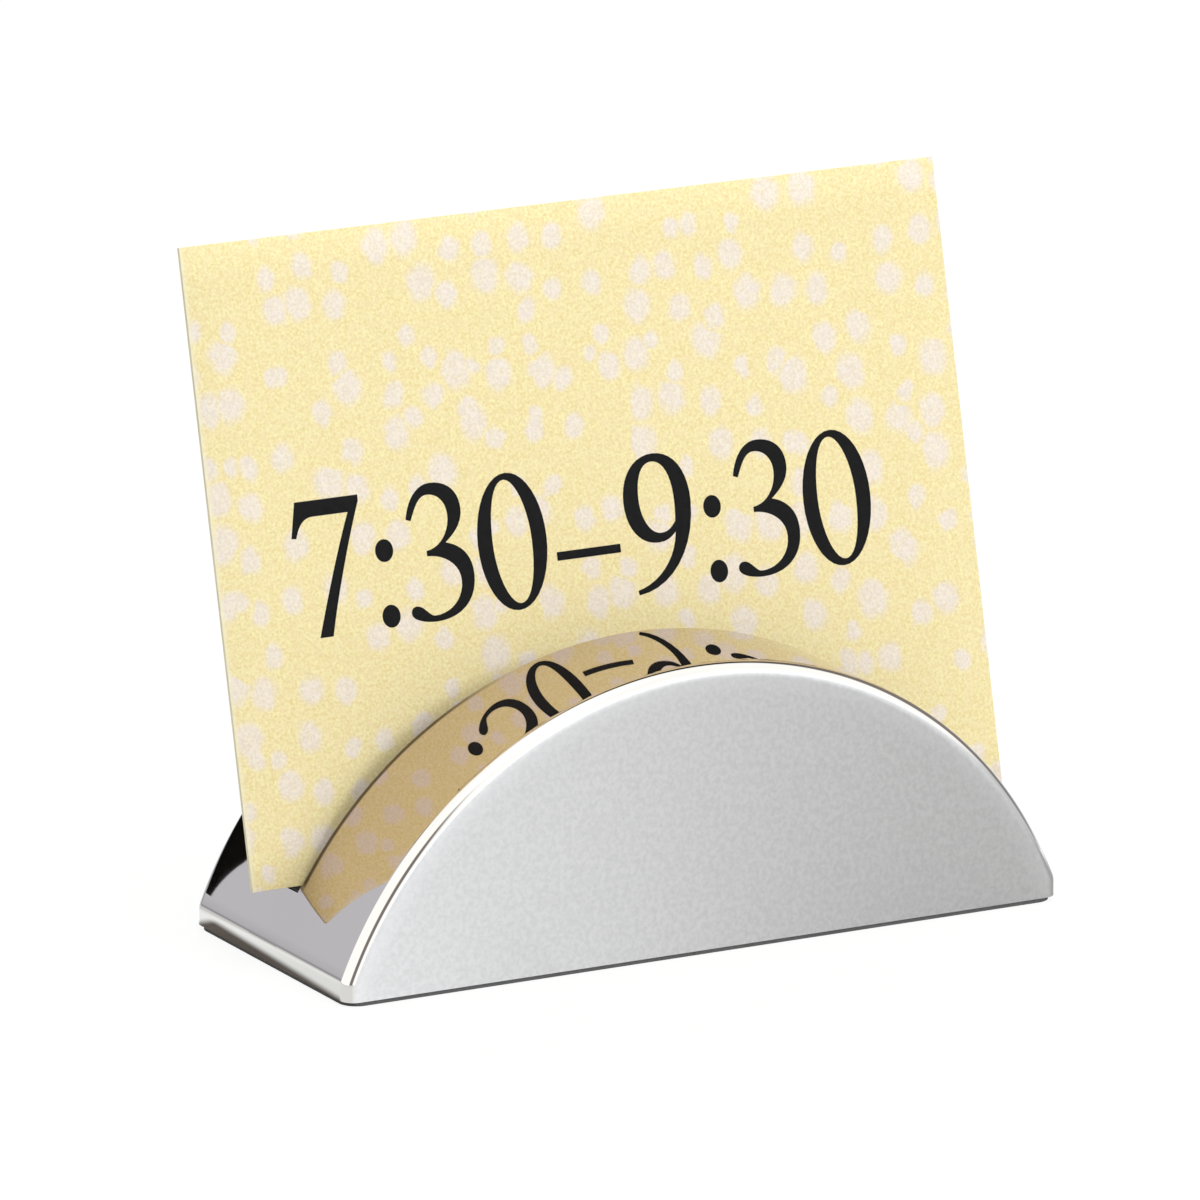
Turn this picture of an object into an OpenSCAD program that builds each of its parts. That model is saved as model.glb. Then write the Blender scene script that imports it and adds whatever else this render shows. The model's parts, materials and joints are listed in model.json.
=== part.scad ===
// Place card holder: a half-moon stainless steel stand with a wide card slot, and its card.
// The holder is two hollow half-moon pods, front and back, joined by a folded strip that
// closes the foot of the slot: it skins both ends, folds over a crest at each end, where the
// card stands, and lies as the slot's floor between them. X runs along the width, Y from
// front to back, Z up. The origin is the middle of the foot print, on the table.

/* [Holder] */
// Overall width of the half-moon
body_w = 84; // [70:0.5:110]
// Overall depth from front face to back face
body_d = 34.6; // [30:0.1:50]
// Height of the arch above the table
body_h = 30.8; // [26:0.1:40]
// Height at which the upright ends turn into the arch
lip_z = 2.4; // [1.8:0.1:5]
// Radius rolled on the outer edge of each pod
edge_r = 1.6; // [1.2:0.1:1.9]
// Thickness of the steel sheet
sheet_t = 1; // [0.6:0.1:1.1]

/* [Slot] */
// Depth of the front pod, from the front face to the slot
front_d = 16; // [12:0.1:19]
// Width of the slot, from wall to wall
slot_w = 6.1; // [4:0.1:9]
// Height above the table of the two crests that the card stands on
crest_z = 8.4; // [7:0.1:14]
// Outer radius of the fold over each crest
fold_r = 1.5; // [1.2:0.1:3]
// Radius of the bend between each folded leg and the slot's floor
bend_r = 1; // [0.6:0.1:2.5]

/* [Foot] */
// Thickness of the soft pad under the holder
pad_t = 0.5; // [0.4:0.1:2]
// How far the pad stays inside the holder's outline
pad_inset = 0.3; // [0.2:0.05:4]
// Corner radius of the pad
pad_corner_r = 2; // [1:0.5:5]

/* [Card] */
// How far the card stands out past the holder at each end
card_over = 2.45; // [0.5:0.05:12]
// Height of the card
card_h = 66.5; // [45:0.5:100]
// Thickness of the card stock
card_t = 0.45; // [0.3:0.05:1.2]
// Running clearance between the card and the steel
card_gap = 0.12; // [0.1:0.02:0.3]

/* [Fits] */
// Gap in the welded seams between one sheet and the next
seam_gap = 0.05; // [0.02:0.01:0.1]

/* [Hidden] */
$fn = 128;
// Overrun of a cut past the faces that it opens
overrun = 2;

// The outline: an arch that springs from a short upright lip at each end
half_w = body_w / 2;
arch_rise = body_h - lip_z;
arch_r = (pow(half_w, 2) + pow(arch_rise, 2)) / (2 * arch_rise);
arch_z = body_h - arch_r;

// The fold over each crest, tangent to the arch outside and to an upright leg inside
fold_z = crest_z - fold_r;
fold_centre = [sqrt(pow(arch_r - fold_r, 2) - pow(fold_z - arch_z, 2)), fold_z];
arch_steps = 8;
fold_steps = 12;
bend_steps = 6;
half_turn = 180;
quarter_turn = 90;

// Places along the depth, measured from the front face
slot_front_y = front_d;
slot_back_y = front_d + slot_w;
back_d = body_d - slot_back_y;

// Levels: the pad, the steel rims that stand on it, the top of the base plate, and the
// slot's floor, which lies on that plate
rim_z = pad_t;
base_top_z = rim_z + sheet_t;
floor_z = base_top_z + sheet_t;
bend_centre = [fold_centre[0] - fold_r - bend_r, floor_z + bend_r];

// The card leans back from the foot of the front wall to the top of the back wall
rest_y = slot_w - card_gap;
rest_z = body_h - crest_z - card_gap;
rest_reach = norm([rest_y, rest_z]);
card_lean = acos((card_t + card_gap) / rest_reach) - atan2(rest_z, rest_y);
card_foot_y = slot_front_y + card_gap;
card_foot_z = crest_z + card_gap + card_t * sin(card_lean);
card_w = body_w + 2 * card_over;

// Colours of the finishes
satin_steel = [0.74, 0.74, 0.75];
mirror_steel = [0.86, 0.87, 0.89];
plain_steel = [0.6, 0.6, 0.61];
pad_black = [0.07, 0.07, 0.075];
card_yellow = [0.98, 0.92, 0.68];

// Moves a piece drawn from the front face so that the foot print is centred
module centred() {
    translate([0, -body_d / 2, 0]) children();
}

// Extrudes an outline drawn in X and Z from one depth to another
module along_depth(y0, y1) {
    translate([0, y1, 0]) rotate([90, 0, 0]) linear_extrude(y1 - y0) children();
}

// The half-moon outline, drawn in X and Z, shrunk by inset
module moon(inset) {
    reach = half_w - inset;
    intersection() {
        translate([0, arch_z]) circle(arch_r - inset);
        translate([-reach, -overrun]) square([2 * reach, body_h + overrun]);
    }
}

// Everything in X and Z from one height to another
module band(z0, z1) {
    translate([-body_w, z0]) square([2 * body_w, z1 - z0]);
}

// Profile from an axis out to a reach, flat in front, with the front edge rolled
module rolled_profile(reach, inset, depth) {
    roll = edge_r - inset;
    translate([0, inset]) square([reach - roll, depth - inset]);
    translate([0, edge_r]) square([reach, depth - edge_r]);
    translate([reach - roll, edge_r]) circle(roll);
}

// Round dish whose rim is the arch, with its axis running front to back
module arch_dish(inset, depth) {
    translate([0, 0, arch_z])
        rotate([-90, 0, 0])
            rotate_extrude() rolled_profile(arch_r - inset, inset, depth);
}

// Upright block between the two lips, with both front corners rolled
module lip_block(inset, depth, bottom) {
    translate([0, 0, bottom])
        linear_extrude(body_h - bottom + overrun)
            for (side = [0, 1])
                mirror([side, 0]) rolled_profile(half_w - inset, inset, depth);
}

// Solid half-moon pod with a rolled front edge, shrunk by inset, from bottom upwards
module pod(inset, depth, bottom) {
    intersection() {
        arch_dish(inset, depth);
        lip_block(inset, depth, bottom);
    }
}

// Pressed half-moon cup: flat face, rolled edge and a wall, open at the back and below
module cup(depth) {
    difference() {
        pod(0, depth, rim_z);
        pod(sheet_t, depth + overrun, rim_z - overrun);
    }
}

// Flat half-moon plate that closes a cup and makes one wall of the slot
module slot_wall(y0) {
    along_depth(y0, y0 + sheet_t)
        intersection() {
            moon(sheet_t + seam_gap);
            band(base_top_z, body_h);
        }
}

// Points along an arc in X and Z
function arc_points(centre, radius, from_angle, to_angle, steps) = [
    for (i = [0:steps])
        let (a = from_angle + (to_angle - from_angle) * i / steps)
            centre + radius * [cos(a), sin(a)]
];

// One end of the strip in X and Z, from its foot up the arch, over the crest and down to
// the slot's floor, at an inset from its outer side
function strip_side(inset) =
    let (
        reach = arch_r - inset,
        spring_angle = acos((half_w - inset) / reach),
        fold_angle = atan2(fold_centre[1] - arch_z, fold_centre[0])
    )
        concat(
            [[half_w - inset, rim_z]],
            arc_points([0, arch_z], reach, spring_angle, fold_angle, arch_steps),
            arc_points(fold_centre, fold_r - inset, fold_angle, half_turn, fold_steps),
            arc_points(bend_centre, bend_r + inset, 0, -quarter_turn, bend_steps)
        );

// The same points the other way round, and at the other end
function reversed(points) = [for (i = [len(points) - 1:-1:0]) points[i]];
function other_end(points) = [for (p = points) [-p[0], p[1]]];

// Satin-faced front pod, mirror polished round its edge and wall
module front_shell() {
    color(satin_steel) centred() cup(front_d);
}

// The same pressing, shallower, facing the back
module back_shell() {
    color(mirror_steel) centred()
        translate([0, body_d, 0]) rotate([0, 0, 180]) cup(back_d);
}

// Plate set into the front pod's rim, flush with it
module slot_front_wall() {
    color(mirror_steel) centred() slot_wall(slot_front_y - sheet_t);
}

// Plate set into the back pod's rim, flush with it
module slot_back_wall() {
    color(mirror_steel) centred() slot_wall(slot_back_y);
}

// Strip folded between the pods: it skins the two ends, carries the card on its two crests
// and lies on the base plate as the slot's floor
module slot_saddle() {
    color(mirror_steel) centred()
        along_depth(slot_front_y, slot_back_y)
            polygon(concat(
                strip_side(0),
                reversed(other_end(strip_side(0))),
                other_end(strip_side(sheet_t)),
                reversed(strip_side(sheet_t))
            ));
}

// A level sheet with rounded corners that keeps a margin inside the holder's foot print
module foot_sheet(margin, corner, z0, thick) {
    long = body_w - 2 * (margin + corner);
    deep = body_d - 2 * (margin + corner);
    translate([0, 0, z0]) linear_extrude(thick) {
        square([long + 2 * corner, deep], center = true);
        square([long, deep + 2 * corner], center = true);
        for (x = [-long / 2, long / 2], y = [-deep / 2, deep / 2])
            translate([x, y]) circle(corner);
    }
}

// Plate let into the open bottom, flush with the rims
module base_plate() {
    color(plain_steel)
        foot_sheet(sheet_t + seam_gap, edge_r - sheet_t, rim_z, sheet_t);
}

// Soft non-slip pad stuck under the base plate and the rims
module base_pad() {
    color(pad_black) foot_sheet(pad_inset, pad_corner_r, 0, pad_t);
}

// Loose card, standing on the two crests and leaning on the top of the slot's back wall
module place_card() {
    color(card_yellow) centred()
        translate([-card_w / 2, card_foot_y, card_foot_z])
            rotate([-card_lean, 0, 0]) cube([card_w, card_t, card_h]);
}

front_shell();
back_shell();
slot_front_wall();
slot_back_wall();
slot_saddle();
base_plate();
base_pad();
place_card();
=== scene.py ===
import json
import math

import bmesh
import bpy
from mathutils import Matrix, Vector


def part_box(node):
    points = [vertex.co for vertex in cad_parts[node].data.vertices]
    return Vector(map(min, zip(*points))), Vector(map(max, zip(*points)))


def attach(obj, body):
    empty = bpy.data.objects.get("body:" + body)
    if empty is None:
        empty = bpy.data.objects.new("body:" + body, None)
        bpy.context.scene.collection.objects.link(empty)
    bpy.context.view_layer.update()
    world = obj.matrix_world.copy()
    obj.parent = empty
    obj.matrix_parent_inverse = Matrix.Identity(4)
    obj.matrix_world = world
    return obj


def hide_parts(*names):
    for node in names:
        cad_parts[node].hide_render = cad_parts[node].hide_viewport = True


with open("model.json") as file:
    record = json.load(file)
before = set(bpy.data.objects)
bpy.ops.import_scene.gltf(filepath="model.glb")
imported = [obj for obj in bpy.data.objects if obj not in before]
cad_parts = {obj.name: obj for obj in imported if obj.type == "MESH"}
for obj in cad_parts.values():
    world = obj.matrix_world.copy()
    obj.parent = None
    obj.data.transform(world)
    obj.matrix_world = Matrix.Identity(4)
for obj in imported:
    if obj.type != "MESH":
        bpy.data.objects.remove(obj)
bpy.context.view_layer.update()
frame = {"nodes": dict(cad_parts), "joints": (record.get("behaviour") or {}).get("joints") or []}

# Front pod: the half-moon cup that faces the table. It is pressed from 1 mm stainless steel in
# one piece: a flat face, an edge rolled right round it, and the arch and upright ends behind.
# The face is blasted to a fine satin grain, and the grain is polished out over the rolled edge.
mm = 0.001
sheet_t = 1 * mm
lip_z = 2.4 * mm
edge_r = 1.6 * mm
lip_bend = 0.39 * mm
arch_facets = 512
roll_facets = 12
bend_facets = 5
mouth_r = 0.3 * mm
mouth_reach = 38.9 * mm
mouth_facets = 4
below_foot = -5 * mm
touching = 0.01 * mm
corner_angle = 32
front_low, front_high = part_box("front_shell")
half_w = front_high[0]
arch_top = front_high[2]
rim_z = front_low[2]
arch_rise = arch_top - lip_z
arch_r = (half_w**2 + arch_rise**2) / (2 * arch_rise)
arch_z = arch_top - arch_r


def tone(red, green, blue):
    """A colour as it reads on screen, from 0 to 255, turned into the values that a shader takes."""
    parts = [c / 255 for c in (red, green, blue)]
    return tuple(c / 12.92 if c <= 0.04045 else ((c + 0.055) / 1.055) ** 2.4 for c in parts) + (1,)


class Wire:
    """What comes out of a node. Sums on wires add their Math nodes."""

    def __init__(self, finish, socket):
        self.finish, self.socket = finish, socket

    def maths(self, operation, *values):
        return self.finish.node("Math", {"operation": operation}, dict(enumerate(values)))

    def __add__(self, other):
        return self.maths("ADD", self, other)

    def __radd__(self, other):
        return self.maths("ADD", other, self)

    def __sub__(self, other):
        return self.maths("SUBTRACT", self, other)

    def __rsub__(self, other):
        return self.maths("SUBTRACT", other, self)

    def __mul__(self, other):
        return self.maths("MULTIPLY", self, other)

    def __rmul__(self, other):
        return self.maths("MULTIPLY", other, self)

    def __truediv__(self, other):
        return self.maths("DIVIDE", self, other)

    def __lt__(self, other):
        return self.maths("LESS_THAN", self, other)

    def __gt__(self, other):
        return self.maths("GREATER_THAN", self, other)

    def eased(self, start, end):
        """0 before start, 1 after end, and a smooth rise between them."""
        return self.finish.node(
            "MapRange",
            {"interpolation_type": "SMOOTHSTEP"},
            {"Value": self, "From Min": start, "From Max": end},
        )


class Finish:
    """A procedural finish for one kind of surface, or for the world round the object."""

    def __init__(self, name, tree=None, **constants):
        if tree is None:
            self.material = bpy.data.materials.new(name)
            self.material.use_nodes = True
            tree = self.material.node_tree
        self.tree = tree
        self.shader = tree.nodes.get("Principled BSDF")
        for socket, value in constants.items():
            self.shader.inputs[socket.replace("_", " ")].default_value = value

    def node(self, kind, settings=None, sockets=None, output=0):
        """Adds a node: its settings first, then the values or wires of its sockets."""
        made = self.tree.nodes.new("ShaderNode" + kind)
        for name, value in (settings or {}).items():
            setattr(made, name, value)
        for name, value in (sockets or {}).items():
            self.feed(made.inputs[name], value)
        return Wire(self, made.outputs[output])

    def feed(self, socket, value):
        if isinstance(value, Wire):
            self.tree.links.new(value.socket, socket)
        else:
            socket.default_value = value

    def place(self, scale=(1, 1, 1), shift=(0, 0, 0)):
        """The surface's own place on the object, in metres, moved and scaled."""
        where = self.node("TexCoord", output="Object")
        return self.node("Mapping", {}, {"Vector": where, "Location": shift, "Scale": scale})

    def axes(self, vector):
        """The X, Y and Z of a vector, as three wires."""
        split = self.node("SeparateXYZ", {}, {"Vector": vector})
        return [Wire(self, s) for s in split.socket.node.outputs]

    def noise(self, vector, scale, detail=2, rough=0.5):
        return self.node(
            "TexNoise", {}, {"Vector": vector, "Scale": scale, "Detail": detail, "Roughness": rough}
        )

    def blend(self, share, one, other):
        """A colour between one and other."""
        return self.node(
            "Mix", {"data_type": "RGBA"}, {"Factor": share, 6: one, 7: other}, output=2
        )

    def bump(self, height, strength, depth):
        return self.node(
            "Bump", {}, {"Height": height, "Strength": strength, "Distance": depth}
        )

    def wear(self, **links):
        """Links wires to the shader: what changes over the surface."""
        for socket, value in links.items():
            self.feed(self.shader.inputs[socket.replace("_", " ")], value)


polished_tones = (0.61, 0.515, 0.455, 1), (0.58, 0.49, 0.432, 1)
blasted_tones = (0.71, 0.616, 0.572, 1), (0.79, 0.688, 0.64, 1)
# Lighter satin just inside the rolled edge of the arch: partly rubbing wear, partly a painted
# highlight.
rub_highlight_tone = (0.90, 0.79, 0.74, 1)
# Painted shade: the dark brown line on each pod along the mouth of the slot, where the card goes
# down past the edge.
slot_shade_tone = (0.07, 0.045, 0.025, 1)
haze = 0.02
slot_shade_width = 0.7 * mm, 1.0 * mm
slot_shade_start = 13 * mm, 24 * mm
slot_shade_end = 38.6 * mm, 39.4 * mm
buffed_over = 0.32 * mm
rub_highlight_reach = -0.2 * mm, 2.2 * mm
blasted_rough = 0.38
grain_depth = 0.010 * mm


def steel(name, face_y=None, mouth_y=0.0):
    """Stainless steel: polished all over, or on a pod, from its blasted face back to the slot."""
    finish = Finish(name, Metallic=1.0)
    place = finish.place()
    cloud = finish.noise(place, 70, detail=3)
    smear = finish.noise(place, 420, detail=2)
    bright = finish.blend(cloud, *polished_tones)
    polished = haze + 0.02 * (smear - 0.35)
    if face_y is None:
        finish.wear(Base_Color=bright, Roughness=polished)
        return finish.material
    side, depth, height = finish.axes(place)
    toward_front = face_y < mouth_y
    inward = (depth - face_y) if toward_front else (face_y - depth)
    from_mouth = (mouth_y - depth) if toward_front else (depth - mouth_y)
    across = side.maths("ABSOLUTE", side)
    # Painted shade: a dark brown line on the top of the pod along the mouth of the slot, which also
    # rises in roughness.
    slot_shade = (1 - from_mouth.eased(*slot_shade_width)) * across.eased(*slot_shade_start)
    slot_shade = slot_shade * (1 - across.eased(*slot_shade_end))
    polish = inward.eased(0.0, buffed_over)
    speck = finish.noise(place, 2300, detail=1, rough=0.5)
    patch = finish.noise(place, 1500, detail=1)
    grain = (0.5 * speck + 0.5 * patch).eased(0.33, 0.67)
    above = height - arch_z
    from_axis = side.maths("POWER", side * side + above * above, 0.5)
    from_arch = arch_r - edge_r - from_axis
    blasted = finish.blend(grain, *blasted_tones)
    # Partly rubbing wear, partly a painted highlight: the face is lighter within about 2 mm of the
    # rolled edge of the arch.
    rub_and_highlight = 1 - from_arch.eased(*rub_highlight_reach)
    blasted = finish.blend(rub_and_highlight * 0.35, blasted, rub_highlight_tone)
    skin = finish.blend(polish, blasted, bright)
    blasted_haze = blasted_rough + 0.12 * (speck - 0.5)
    finish.wear(
        Base_Color=finish.blend(slot_shade * 0.9, skin, slot_shade_tone),
        Roughness=blasted_haze * (1 - polish) + (polished + 0.3 * slot_shade) * polish,
        Normal=finish.bump(speck, 0.4, (1 - polish) * grain_depth),
    )
    return finish.material


def half_moon():
    """A flat half-moon in X and Z, running on below the foot, with the bend over each lip."""
    plate = bmesh.new()
    upright = Matrix.Translation((0, 0, arch_z)) @ Matrix.Rotation(math.pi / 2, 4, "X")
    bmesh.ops.create_circle(
        plate, cap_ends=True, segments=arch_facets, radius=arch_r, matrix=upright
    )
    for way in ((1, 0, 0), (-1, 0, 0), (0, 0, -1)):
        reach = -below_foot if way[2] else half_w
        bmesh.ops.bisect_plane(
            plate,
            geom=plate.verts[:] + plate.edges[:] + plate.faces[:],
            plane_co=Vector(way) * reach,
            plane_no=way,
            clear_outer=True,
        )
    springs = [
        v for v in plate.verts if abs(v.co.z - lip_z) < 2 * touching and abs(v.co.x) > half_w / 2
    ]
    bmesh.ops.bevel(
        plate,
        geom=springs,
        offset=lip_bend,
        offset_type="OFFSET",
        segments=bend_facets,
        profile=0.5,
        affect="VERTICES",
        material=-1,
    )
    return plate


def new_points(made):
    """The points that an extrusion has made."""
    return [v for v in made["geom"] if isinstance(v, bmesh.types.BMVert)]


def pressed_pod(depth):
    """A cup, flat in front with a rolled edge, open behind and below, eased at the slot."""
    cup = half_moon()
    block = bmesh.ops.extrude_face_region(cup, geom=cup.faces[:])
    bmesh.ops.translate(cup, verts=new_points(block), vec=(0, depth, 0))
    rim = [
        e
        for e in cup.edges
        if all(abs(v.co.y) < touching for v in e.verts)
        and any(v.co.z > below_foot + touching for v in e.verts)
    ]
    bmesh.ops.bevel(
        cup,
        geom=rim,
        offset=edge_r,
        offset_type="OFFSET",
        segments=roll_facets,
        profile=0.5,
        affect="EDGES",
        clamp_overlap=False,
        material=-1,
    )
    bmesh.ops.bisect_plane(
        cup,
        geom=cup.verts[:] + cup.edges[:] + cup.faces[:],
        plane_co=(0, 0, rim_z),
        plane_no=(0, 0, -1),
        clear_outer=True,
    )
    open_side = [f for f in cup.faces if f.calc_center_median().y > depth - touching]
    bmesh.ops.delete(cup, geom=open_side, context="FACES")
    sheet_wall(cup)
    mouth = [
        e
        for e in cup.edges
        if all(
            abs(v.co.y - depth) < touching
            and abs(v.co.x) < mouth_reach
            and math.hypot(v.co.x, v.co.z - arch_z) > arch_r - 5 * touching
            for v in e.verts
        )
    ]
    bmesh.ops.bevel(
        cup,
        geom=mouth,
        offset=mouth_r,
        offset_type="OFFSET",
        segments=mouth_facets,
        profile=0.5,
        affect="EDGES",
        material=-1,
    )
    return cup


def sheet_wall(shape):
    """Gives a pressed skin the thickness of the sheet, inwards."""
    bmesh.ops.remove_doubles(shape, verts=shape.verts, dist=0.002 * mm)
    bmesh.ops.recalc_face_normals(shape, faces=shape.faces)
    bmesh.ops.solidify(shape, geom=shape.faces[:], thickness=sheet_t)


def piece(name, shape, *materials):
    """Turns a bmesh into an object of the scene, shaded smooth but for its true corners."""
    mesh = bpy.data.meshes.new(name)
    shape.to_mesh(mesh)
    shape.free()
    for material in materials:
        mesh.materials.append(material)
    mesh.shade_smooth()
    mesh.set_sharp_from_angle(angle=math.radians(corner_angle))
    made = bpy.data.objects.new(name, mesh)
    bpy.context.scene.collection.objects.link(made)
    return made


def even_shine(made):
    """Lets the large faces of a pressing lead its shading, as polishing does."""
    even = made.modifiers.new("even_shine", "WEIGHTED_NORMAL")
    even.keep_sharp = True
    even.weight = 100


def refinish(node_name, finish):
    """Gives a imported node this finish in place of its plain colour."""
    slots = frame["nodes"][node_name].data.materials
    slots.clear()
    slots.append(finish.material)


face_y = front_low[1]
front_steel = steel("satin_front", face_y, mouth_y=front_high[1])
front_skin = pressed_pod(front_high[1] - front_low[1])
bmesh.ops.translate(front_skin, verts=front_skin.verts, vec=(0, face_y, 0))
pod_front = piece("pod_front", front_skin, front_steel)
even_shine(pod_front)
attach(pod_front, "holder")
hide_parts("front_shell")

# Back pod: the same pressing, shallower, with its satin face to the back of the table. It is
# welded to the saddle as the front pod is, and the seams are ground flush and polished over.
back_low, back_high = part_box("back_shell")
back_y = back_high[1]
back_steel = steel("satin_back", back_y, mouth_y=back_low[1])
back_skin = pressed_pod(back_high[1] - back_low[1])
about_turn = Matrix.Translation((0, back_y, 0)) @ Matrix.Rotation(math.pi, 4, "Z")
bmesh.ops.transform(back_skin, verts=back_skin.verts, matrix=about_turn)
pod_back = piece("pod_back", back_skin, back_steel)
even_shine(pod_back)
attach(pod_back, "holder")
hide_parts("back_shell")

# Saddle: the strip of 1 mm steel between the pods. It skins the two ends, folds over a crest at
# each end, where the card stands, and lies as the floor of the slot. Polished all over.
crest_z = 8.4 * mm
fold_r = 1.5 * mm
bend_r = 1.0 * mm
fold_facets = 24
corner_facets = 8
end_facets = 40
saddle_low, saddle_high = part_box("slot_saddle")
floor_z = rim_z + 2 * sheet_t
fold_z = crest_z - fold_r
fold_x = math.sqrt((arch_r - fold_r) ** 2 - (fold_z - arch_z) ** 2)
leg_x = fold_x - fold_r
fold_angle = math.atan2(fold_z - arch_z, fold_x)
turn_angle = math.acos(half_w / arch_r) + lip_bend / arch_r
turn_r = (half_w - arch_r * math.cos(turn_angle)) / (1 - math.cos(turn_angle))
turn_x = (arch_r - turn_r) * math.cos(turn_angle)
turn_z = (arch_r - turn_r) * math.sin(turn_angle) + arch_z


def strip_end(shape):
    """How far the strip has come: of its two loose points, the one further out."""
    return max((v for v in shape.verts if len(v.link_edges) < 2), key=lambda v: v.co.x)


def straight_to(shape, x, z):
    """Takes the strip straight on to a place."""
    far = bmesh.ops.extrude_vert_indiv(shape, verts=[strip_end(shape)])["verts"]
    bmesh.ops.translate(shape, verts=far, vec=Vector((x, 0, z)) - far[0].co)


def bend_round(shape, x, z, angle, facets):
    """Bends the strip on round a centre, outwards where the angle is positive."""
    bmesh.ops.spin(
        shape, geom=[strip_end(shape)], cent=(x, 0, z), axis=(0, 1, 0), angle=angle, steps=facets
    )


strip = bmesh.new()
bmesh.ops.create_vert(strip, co=(0, 0, floor_z))
straight_to(strip, leg_x - bend_r, floor_z)
bend_round(strip, leg_x - bend_r, floor_z + bend_r, -math.pi / 2, corner_facets)
straight_to(strip, leg_x, fold_z)
bend_round(strip, fold_x, fold_z, math.pi - fold_angle, fold_facets)
bend_round(strip, 0, arch_z, fold_angle - turn_angle, end_facets)
bend_round(strip, turn_x, turn_z, turn_angle, bend_facets)
straight_to(strip, half_w, rim_z)
bmesh.ops.mirror(
    strip, geom=strip.verts[:] + strip.edges[:], axis="X", merge_dist=0.005 * mm
)
swept = bmesh.ops.extrude_edge_only(strip, edges=strip.edges[:])
bmesh.ops.translate(
    strip, verts=new_points(swept), vec=(0, saddle_high[1] - saddle_low[1], 0)
)
bmesh.ops.translate(strip, verts=strip.verts, vec=(0, saddle_low[1], 0))
sheet_wall(strip)
polished_steel = steel("polished_saddle")
saddle = piece("saddle", strip, polished_steel)
even_shine(saddle)
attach(saddle, "holder")
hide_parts("slot_saddle")

# Slot walls: two flat half-moon plates, laser cut and welded into the open side of each pod,
# where they stand as the two walls of the slot. No wheel reaches them, so they stay dull, and
# their colour is painted dark as painted shade for the inside of the slot.
painted_shade_walls = Finish("slot_walls_painted_shade", Metallic=1.0)
raw_place = painted_shade_walls.place(scale=(1, 1, 9))
raw_lines = painted_shade_walls.noise(raw_place, 500, detail=3, rough=0.6)
# Painted shade: the walls' steel is far darker than steel, so the slot reads dark.
painted_shade_walls.wear(
    Base_Color=painted_shade_walls.blend(raw_lines, (0.20, 0.175, 0.155, 1), (0.29, 0.255, 0.23, 1)),
    Roughness=0.40 + 0.15 * raw_lines,
    Normal=painted_shade_walls.bump(raw_lines, 0.3, 0.01 * mm),
)
for wall_name in ("slot_front_wall", "slot_back_wall"):
    refinish(wall_name, painted_shade_walls)

# Base plate: a plain sheet welded in under the pods. It is ground, not polished, and shows
# only round the edge of the pad when the holder is turned over.
ground_steel = Finish("ground_steel", Metallic=1.0)
ground_place = ground_steel.place(scale=(1, 14, 1))
ground_lines = ground_steel.noise(ground_place, 420, detail=4, rough=0.65)
ground_steel.wear(
    Base_Color=ground_steel.blend(ground_lines, tone(168, 167, 168), tone(196, 195, 196)),
    Roughness=0.34 + 0.18 * ground_lines,
    Normal=ground_steel.bump(ground_lines, 0.35, 0.02 * mm),
)
refinish("base_plate", ground_steel)

# Base pad: a sheet of grey cellular rubber, stuck on with its own adhesive a little inside the
# outline, so that the steel stands a hair above the table on a thin grey line.
pad_rubber = Finish("pad_rubber", Specular_IOR_Level=0.3)
pad_place = pad_rubber.place()
pad_cells = pad_rubber.node(
    "TexVoronoi", {"feature": "F1"}, {"Vector": pad_place, "Scale": 2600, "Randomness": 1.0}
)
pad_dust = pad_rubber.noise(pad_place, 260, detail=3)
pad_rubber.wear(
    Base_Color=pad_rubber.blend(pad_dust, tone(104, 104, 106), tone(128, 128, 130)),
    Roughness=0.72 + 0.2 * pad_cells,
    Normal=pad_rubber.bump(pad_cells, 0.5, 0.05 * mm),
)
refinish("base_pad", pad_rubber)

# Place card: a sheet of stiff pale yellow card, printed on its front with a light pattern of
# blots and guillotined. It stands loose in the slot and leans back on the crest of its wall.
card_w = 88.9 * mm
card_h = 66.5 * mm
card_t = 0.45 * mm
card_edge = 0.05 * mm
pale_strip_w = 0.7 * mm
card_cuts = 15
lift = Vector(frame["joints"][0]["axis"]).normalized()
card_lean = math.atan2(lift.y, lift.z)
card_low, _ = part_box("place_card")
card_foot = Vector((card_low[0], card_low[1], card_low[2] + card_t * math.sin(card_lean)))
card_place = Matrix.Translation(card_foot) @ Matrix.Rotation(-card_lean, 4, "X")

card_stock = Finish("printed_card", Roughness=0.7, Specular_IOR_Level=0.15)
flat_place = card_stock.node(
    "VectorRotate",
    {"rotation_type": "X_AXIS"},
    {
        "Vector": card_stock.node("TexCoord", output="Object"),
        "Center": tuple(card_foot),
        "Angle": card_lean,
    },
)
across_card, into_card, up_card = card_stock.axes(flat_place)
blot_x = across_card * (1 / mm)
blot_z = up_card * (1 / mm)
ragged_size = 480
ragged_reach = 1.7
ragged = card_stock.noise(flat_place, ragged_size, detail=3, rough=0.65)
elsewhere = card_stock.place(shift=(0.3, 0.1, 0.2))
ragged_more = card_stock.noise(elsewhere, ragged_size, detail=3, rough=0.65)
blot_place = card_stock.node(
    "CombineXYZ",
    {},
    {
        "X": blot_x * 1.15 + ragged_reach * (ragged - 0.5),
        "Y": blot_z + ragged_reach * (ragged_more - 0.5),
        "Z": 0.0,
    },
)


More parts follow.
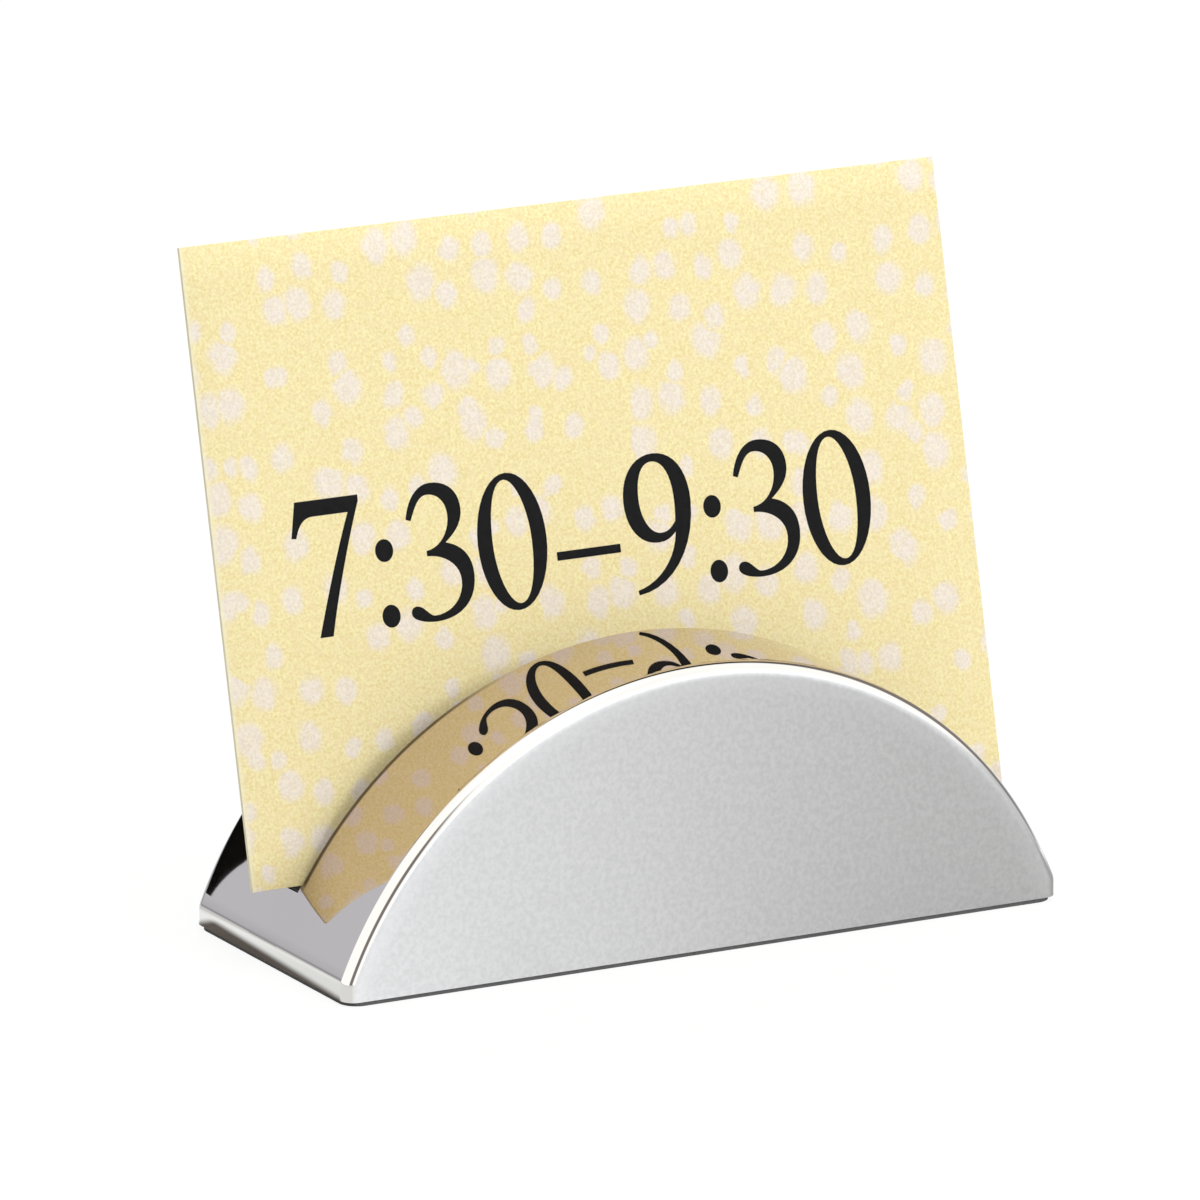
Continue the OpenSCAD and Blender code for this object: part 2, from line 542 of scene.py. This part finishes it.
def blots(spacing, smallest, largest, kept, shift):
    """Blots one to a cell of about spacing millimetres, in sizes between smallest and largest."""
    where = card_stock.node(
        "VectorMath", {"operation": "ADD"}, {0: blot_place, 1: (shift, shift, 0)}
    )
    cell = card_stock.node(
        "TexVoronoi",
        {"voronoi_dimensions": "2D", "feature": "F1"},
        {"Vector": where, "Scale": 1 / spacing, "Randomness": 0.7},
    )
    chance, size, _ = card_stock.axes(Wire(card_stock, cell.socket.node.outputs["Color"]))
    radius = (smallest + (largest - smallest) * size) / spacing
    inside = 1 - (cell / radius).eased(0.55, 1.2)
    return inside * (chance < kept)


large = blots(4.9, 1.15, 2.25, 0.80, 3.0)
small = blots(8.3, 1.0, 1.4, 0.35, 40.7)
blot = large.maths("MAXIMUM", large, small)
fibre = card_stock.noise(flat_place, 3200, detail=3, rough=0.7)
grain = fibre.eased(0.32, 0.68)
wash = card_stock.noise(flat_place, 900, detail=2)
card_yellow = card_stock.blend(grain, tone(240, 222, 160), tone(255, 247, 198))
card_yellow = card_stock.blend(wash.eased(0.35, 0.7) * 0.4, card_yellow, tone(250, 233, 192))
blot_tone = card_stock.blend(grain, tone(238, 228, 224), tone(252, 244, 242))
card_print = card_stock.blend(blot * (0.5 + 0.45 * wash), card_yellow, blot_tone)
# Paler along the left edge of the card's front, in a strip about 0.7 mm wide.
pale_left_strip = 1 - (across_card - card_low[0]).eased(0.1 * mm, pale_strip_w)
card_stock.wear(
    Base_Color=card_stock.blend(pale_left_strip * 0.6, card_print, tone(253, 247, 218)),
    Normal=card_stock.bump(fibre, 0.25, 0.02 * mm),
)

plain_stock = Finish("plain_card", Roughness=0.7, Specular_IOR_Level=0.15)
plain_place = plain_stock.place()
plain_fibre = plain_stock.noise(plain_place, 1700, detail=3, rough=0.7)
plain_stock.wear(
    Base_Color=plain_stock.blend(plain_fibre, tone(254, 249, 222), tone(247, 240, 208)),
    Normal=plain_stock.bump(plain_fibre, 0.3, 0.02 * mm),
)

leaf = bmesh.new()
bmesh.ops.create_cube(leaf, size=1, matrix=Matrix.Translation((0.5, 0.5, 0.5)))
bmesh.ops.scale(leaf, verts=leaf.verts, vec=(card_w, card_t, card_h))
bmesh.ops.bevel(
    leaf,
    geom=leaf.edges[:],
    offset=card_edge,
    offset_type="OFFSET",
    segments=2,
    profile=0.5,
    affect="EDGES",
    material=-1,
)
long_edges = [e for e in leaf.edges if e.calc_length() > card_h / 2]
bmesh.ops.subdivide_edges(leaf, edges=long_edges, cuts=card_cuts, use_grid_fill=True)
for face in leaf.faces:
    on_front = face.calc_center_median().y < card_edge * 0.5
    face.material_index = 0 if on_front else 1
bmesh.ops.transform(leaf, verts=leaf.verts, matrix=card_place)
card = piece("card", leaf, card_stock.material, plain_stock.material)
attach(card, "card")
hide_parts("place_card")

# Numerals: plain figures of a table time, letterpress black in an old book face, printed in one
# row across the card. Each figure is drawn in shares of the height of a figure.
figure_h = 13.9 * mm
row_start = 8.7 * mm
row_base = 25.2 * mm
ink_depth = 0.012 * mm
round_share = 0.5523


def oval(x, z, reach, rise, tilt=0.0):
    """Four knots of a leaning oval: place, then the handle before and the handle after."""
    flat, steep = round_share * reach, round_share * rise
    return [
        (x - tilt, z + rise, -flat, 0, flat, 0),
        (x + reach, z - tilt, 0, steep, 0, -steep),
        (x + tilt, z - rise, flat, 0, -flat, 0),
        (x - reach, z + tilt, 0, -steep, 0, steep),
    ]


figure_shares = {
    "0": (0.64, [oval(0.32, 0.5, 0.29, 0.515), oval(0.32, 0.5, 0.165, 0.465, 0.02)]),
    "7": (
        0.62,
        [
            [
                (0.075, 1.0, 0, 0, 0, 0),
                (0.60, 1.0, 0, 0, 0, 0),
                (0.60, 0.955, 0, 0, -0.06, -0.14),
                (0.275, -0.02, 0.09, 0.36, 0, 0),
                (0.165, -0.02, 0, 0, 0.10, 0.30),
                (0.505, 0.88, -0.10, -0.22, 0, 0),
                (0.21, 0.88, 0.12, 0, -0.07, 0),
                (0.06, 0.73, 0.03, 0.10, 0, 0),
                (0.02, 0.735, 0, 0, 0, 0),
            ]
        ],
    ),
    "3": (
        0.60,
        [
            [
                (0.055, 0.765, 0, 0, 0.03, 0.14),
                (0.285, 1.015, -0.12, 0, 0.15, 0),
                (0.52, 0.795, 0, 0.13, 0, -0.11),
                (0.365, 0.56, 0.07, 0.05, 0.12, -0.03),
                (0.575, 0.30, 0, 0.15, 0, -0.20),
                (0.225, -0.015, 0.20, 0, -0.10, 0),
                (0.02, 0.065, 0, -0.05, 0, 0.035),
                (0.07, 0.115, -0.03, 0, 0.06, 0),
                (0.215, 0.03, -0.05, 0, 0.13, 0),
                (0.465, 0.265, 0, -0.14, 0, 0.13),
                (0.20, 0.475, 0.13, 0, 0, 0),
                (0.20, 0.515, 0, 0, 0.12, 0.01),
                (0.405, 0.76, 0, -0.12, 0, 0.10),
                (0.25, 0.93, 0.09, 0, -0.08, 0),
                (0.095, 0.75, 0.04, 0.08, 0, 0),
            ]
        ],
    ),
    "9": (
        0.62,
        [
            [
                (0.075, -0.03, 0, 0, 0.28, 0.02),
                (0.595, 0.63, -0.01, -0.38, 0, 0.24),
                (0.31, 1.015, 0.17, 0, -0.17, 0),
                (0.025, 0.67, 0, 0.20, 0, -0.19),
                (0.28, 0.345, -0.15, 0, 0.08, 0),
                (0.44, 0.41, -0.05, -0.045, -0.03, -0.22),
                (0.07, 0.005, 0.18, 0.04, 0, 0),
            ],
            [
                (0.295, 0.955, -0.09, 0, 0.10, 0),
                (0.455, 0.64, 0, 0.19, 0, -0.06),
                (0.445, 0.49, 0.005, 0.03, -0.04, -0.05),
                (0.315, 0.415, 0.06, 0, -0.09, 0),
                (0.155, 0.69, 0, -0.15, 0, 0.16),
            ],
        ],
    ),
    ":": (0.30, [oval(0.15, 0.07, 0.075, 0.085), oval(0.15, 0.56, 0.075, 0.085)]),
    "-": (
        0.62,
        [
            [
                (0.04, 0.375, 0, 0, 0, 0),
                (0.58, 0.375, 0, 0, 0, 0),
                (0.58, 0.31, 0, 0, 0, 0),
                (0.04, 0.31, 0, 0, 0, 0),
            ]
        ],
    ),
}

row = bpy.data.curves.new("figures_row", "CURVE")
row.dimensions = "2D"
row.fill_mode = "BOTH"
row.resolution_u = 10
row.extrude = ink_depth / 2
pen = 0.0
for figure in "7:30-9:30":
    set_width, outlines = figure_shares[figure]
    for outline in outlines:
        loop = row.splines.new("BEZIER")
        loop.use_cyclic_u = True
        loop.bezier_points.add(len(outline) - 1)
        for knot, (x, z, before_x, before_z, after_x, after_z) in zip(loop.bezier_points, outline):
            knot.handle_left_type = knot.handle_right_type = "FREE"
            here = Vector((pen + x, z, 0)) * figure_h
            knot.co = here
            knot.handle_left = here + Vector((before_x, before_z, 0)) * figure_h
            knot.handle_right = here + Vector((after_x, after_z, 0)) * figure_h
    pen += set_width
drawn = bpy.data.objects.new("figures_drawn", row)
bpy.context.scene.collection.objects.link(drawn)
bpy.context.view_layer.update()
printed = bpy.data.meshes.new_from_object(drawn)
bpy.data.objects.remove(drawn)

ink = Finish("printed_ink", Roughness=0.75, Specular_IOR_Level=0.1)
ink_place = ink.place()
ink_wear = ink.noise(ink_place, 1500, detail=3, rough=0.7)
ink.wear(
    Base_Color=ink.blend(ink_wear, tone(16, 16, 17), tone(34, 33, 34)),
    Normal=ink.bump(ink_wear, 0.2, 0.01 * mm),
)
type_shape = bmesh.new()
type_shape.from_mesh(printed)
bmesh.ops.remove_doubles(type_shape, verts=type_shape.verts, dist=0.0005 * mm)
stand_up = Matrix.Translation((row_start, -ink_depth / 2, row_base)) @ Matrix.Rotation(
    math.pi / 2, 4, "X"
)
bmesh.ops.transform(type_shape, verts=type_shape.verts, matrix=card_place @ stand_up)
figures = piece("figures", type_shape, ink.material)
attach(figures, "card")

# Studio: a pale floor that runs on as the backdrop, with soft boxes overhead, at the right front
# and behind. Polished steel alone also sees a bright front, a dim back and the dark between
# them. A direction in the sky is given by its shares of X, Y and Z.
floor_side = 12.0
paper_tone = (0.55, 0.55, 0.55, 1)
cool = (0.77, 0.91, 1.0, 1)
cool_back = (0.79, 0.895, 1.04, 1)
cool_front = (0.80, 0.93, 1.0, 1)
warm_dome = (0.81, 0.77, 0.68, 1)
glow_share = 0.82
floor_shape = bmesh.new()
bmesh.ops.create_grid(floor_shape, x_segments=1, y_segments=1, size=floor_side / 2)
floor = piece("floor", floor_shape)
floor_finish = Finish("floor_paper", Roughness=0.9, Specular_IOR_Level=0.0)
floor_finish.shader.inputs["Base Color"].default_value = paper_tone


def rays_of(finish):
    """Whether a ray sees the backdrop, and whether it comes to the eye off polished steel."""
    kinds = finish.node("LightPath").socket.node.outputs
    seen = Wire(finish, kinds["Is Camera Ray"]) + Wire(finish, kinds["Is Transmission Ray"])
    return seen, Wire(finish, kinds["Is Glossy Ray"]) * (Wire(finish, kinds["Diffuse Depth"]) < 0.5)


def mixed(finish, share, one, other):
    """A shader between one and other."""
    return finish.node("MixShader", {}, {0: share, 1: one, 2: other})


def glow(finish, kind, strength, colour=(1, 1, 1, 1)):
    """A plain glow: a Background for the world, an Emission for the floor."""
    return finish.node(kind, {}, {"Color": colour, "Strength": strength})


dim_zone = -75 * mm, 45 * mm
dim_zone_back = -10 * mm, 20 * mm
lamp_zone = -70 * mm, -30 * mm
behind_zone = 18 * mm, 40 * mm
shade_front = -17 * mm, -15 * mm
shade_back = 17 * mm, 20 * mm
shade_edge = 1.0 * mm, 2.3 * mm
shade_inside = -4 * mm
seen, glossy = rays_of(floor_finish)
floor_x, floor_y, _ = floor_finish.axes(floor_finish.place())
# Painted light for polished steel only: the floor it sees is brightest before the holder, a little
# less far to the left, dim to the right and behind, and nearly black in a painted shadow round the
# foot at each end.
to_right = floor_x + 0.55 * floor_y.maths("MINIMUM", floor_y, 0.0) + 13 * mm
dim_share = to_right.eased(*dim_zone) * (1 - floor_y.eased(*dim_zone_back))
from_end = floor_x.maths("ABSOLUTE", floor_x) - half_w - 0.05 * (floor_y + 6 * mm)
shaded = floor_y.eased(*shade_front) * (1 - floor_y.eased(*shade_back))
shaded = shaded * (from_end > shade_inside) * (1 - from_end.eased(*shade_edge))
# Glows of the floor as polished steel sees it: painted light and painted shadow.
near_lamp = glow(floor_finish, "Emission", 1.5, cool)
middling = glow(floor_finish, "Emission", 1.95, cool)
far_side = glow(floor_finish, "Emission", 0.71, cool)
behind = glow(floor_finish, "Emission", 1.25, cool)
foot_shade = glow(floor_finish, "Emission", 0.10)
mirrored = mixed(floor_finish, to_right.eased(*lamp_zone), near_lamp, middling)
mirrored = mixed(floor_finish, dim_share, mirrored, far_side)
mirrored = mixed(floor_finish, floor_y.eased(*behind_zone), mirrored, behind)
mirrored = mixed(floor_finish, shaded, mirrored, foot_shade)
floor_glow = mixed(floor_finish, glossy, glow(floor_finish, "Emission", 1.10), mirrored)
lit_floor = Wire(floor_finish, floor_finish.shader.outputs[0])
floor_mix = mixed(floor_finish, (seen + glossy) * glow_share, lit_floor, floor_glow)
floor_finish.feed(floor_finish.tree.nodes["Material Output"].inputs["Surface"], floor_mix)
floor.data.materials.append(floor_finish.material)

roof_line = 0.30, 0.44
front_line = 0.0, 0.12
lamp_line = 0.22, 0.40
slit_left = -0.84, -0.76
slit_right = -0.56, -0.48
slit_end = -0.47, -0.27
skirting_line = 0.07, 0.14
dusk_line = 0.4, 0.9
scene = bpy.context.scene
scene.view_settings.view_transform = "Standard"
world = bpy.data.worlds.new("studio")
scene.world = world
world.use_nodes = True
sky = Finish("studio", world.node_tree)
seen, glossy = rays_of(sky)
sky_x, sky_y, sky_z = sky.axes(sky.node("TexCoord", output="Generated"))
high = (sky_z + 0.35 * sky_x).eased(*roof_line)
in_front = (0.52 - 0.4 * sky_x - sky_y).eased(*front_line)
lean = 0.1 * sky_x.maths("MAXIMUM", sky_x, 0.0) - 0.9 * sky_x.maths("MINIMUM", sky_x, 0.0)
low = 1 - (sky_z + lean).eased(*lamp_line)
slit = sky_y.eased(*slit_left) * (1 - sky_y.eased(*slit_right))
slit = slit * (1 - sky_x.eased(*slit_end))
back = glow(sky, "Background", 1.0, cool_back)
skirting = glow(sky, "Background", 0.6, cool_back)
back = mixed(sky, sky_z.eased(*skirting_line), skirting, back)
dark = glow(sky, "Background", 0.04)
dusk = glow(sky, "Background", 0.35)
dark = mixed(sky, sky_x.eased(*dusk_line), dark, dusk)
bright = glow(sky, "Background", 2.1, cool_front)
soft = glow(sky, "Background", 1.1, cool)
grey = glow(sky, "Background", 0.33)
front = mixed(sky, slit, mixed(sky, low, bright, soft), grey)
mirrored = mixed(sky, in_front, mixed(sky, high, back, dark), front)
dome = glow(sky, "Background", 0.42, warm_dome)
plain = mixed(sky, seen, dome, glow(sky, "Background", 1.0))
sky_mix = mixed(sky, glossy, plain, mirrored)
sky.feed(world.node_tree.nodes["World Output"].inputs["Surface"], sky_mix)


def soft_box(name, place, size, power, mirrored=True):
    """A square soft box at a place, turned to the holder."""
    lamp = bpy.data.lights.new(name, "AREA")
    lamp.shape = "SQUARE"
    lamp.size = size
    lamp.energy = power
    made = bpy.data.objects.new(name, lamp)
    made.location = place
    made.rotation_euler = (-Vector(place)).to_track_quat("-Z", "Y").to_euler()
    made.visible_glossy = mirrored
    scene.collection.objects.link(made)


soft_box("overhead", (-0.15, -0.25, 1.25), 0.9, 10.0)
soft_box("key_right", (0.65, -1.15, 0.72), 0.6, 8.4, mirrored=False)
soft_box("fill_behind", (0.5, 1.2, 0.6), 0.9, 13.5, mirrored=False)

# Flag: a black card that stands behind the holder on its left, as in a product studio. Only the
# polished steel sees it, in the curve of the back pod's end.
flag_y = 80
flag_corners = (-79, 14), (-75.8, 27), (-67.5, 52), (-25, 52), (-25, 17)
flag_shape = bmesh.new()
for x, z in flag_corners:
    bmesh.ops.create_vert(flag_shape, co=Vector((x, flag_y, z)) * mm)
bmesh.ops.contextual_create(flag_shape, geom=flag_shape.verts[:])
flag_finish = Finish("flag_card", Roughness=1.0, Specular_IOR_Level=0.0)
flag_finish.shader.inputs["Base Color"].default_value = (0.01, 0.01, 0.01, 1)
flag = piece("flag", flag_shape, flag_finish.material)
flag.visible_camera = False
flag.visible_diffuse = False
flag.visible_shadow = False
flag.visible_transmission = False

# Camera: where the photograph was taken from, low, to the left, and through a long lens.
camera_left = math.radians(28.533)
camera_up = math.radians(14.723)
camera_away = 1.3065
camera_lens = 385.12
camera_sensor = 36.0
camera_aim = Vector((-13.77, -19.26, 39.97)) * mm
looking = Vector(
    (
        math.sin(camera_left) * math.cos(camera_up),
        math.cos(camera_left) * math.cos(camera_up),
        -math.sin(camera_up),
    )
)
camera = bpy.data.objects.new("camera", bpy.data.cameras.new("camera"))
camera.data.lens = camera_lens
camera.data.sensor_width = camera_sensor
camera.location = camera_aim - looking * camera_away
camera.rotation_euler = looking.to_track_quat("-Z", "Y").to_euler()
scene.collection.objects.link(camera)
scene.camera = camera
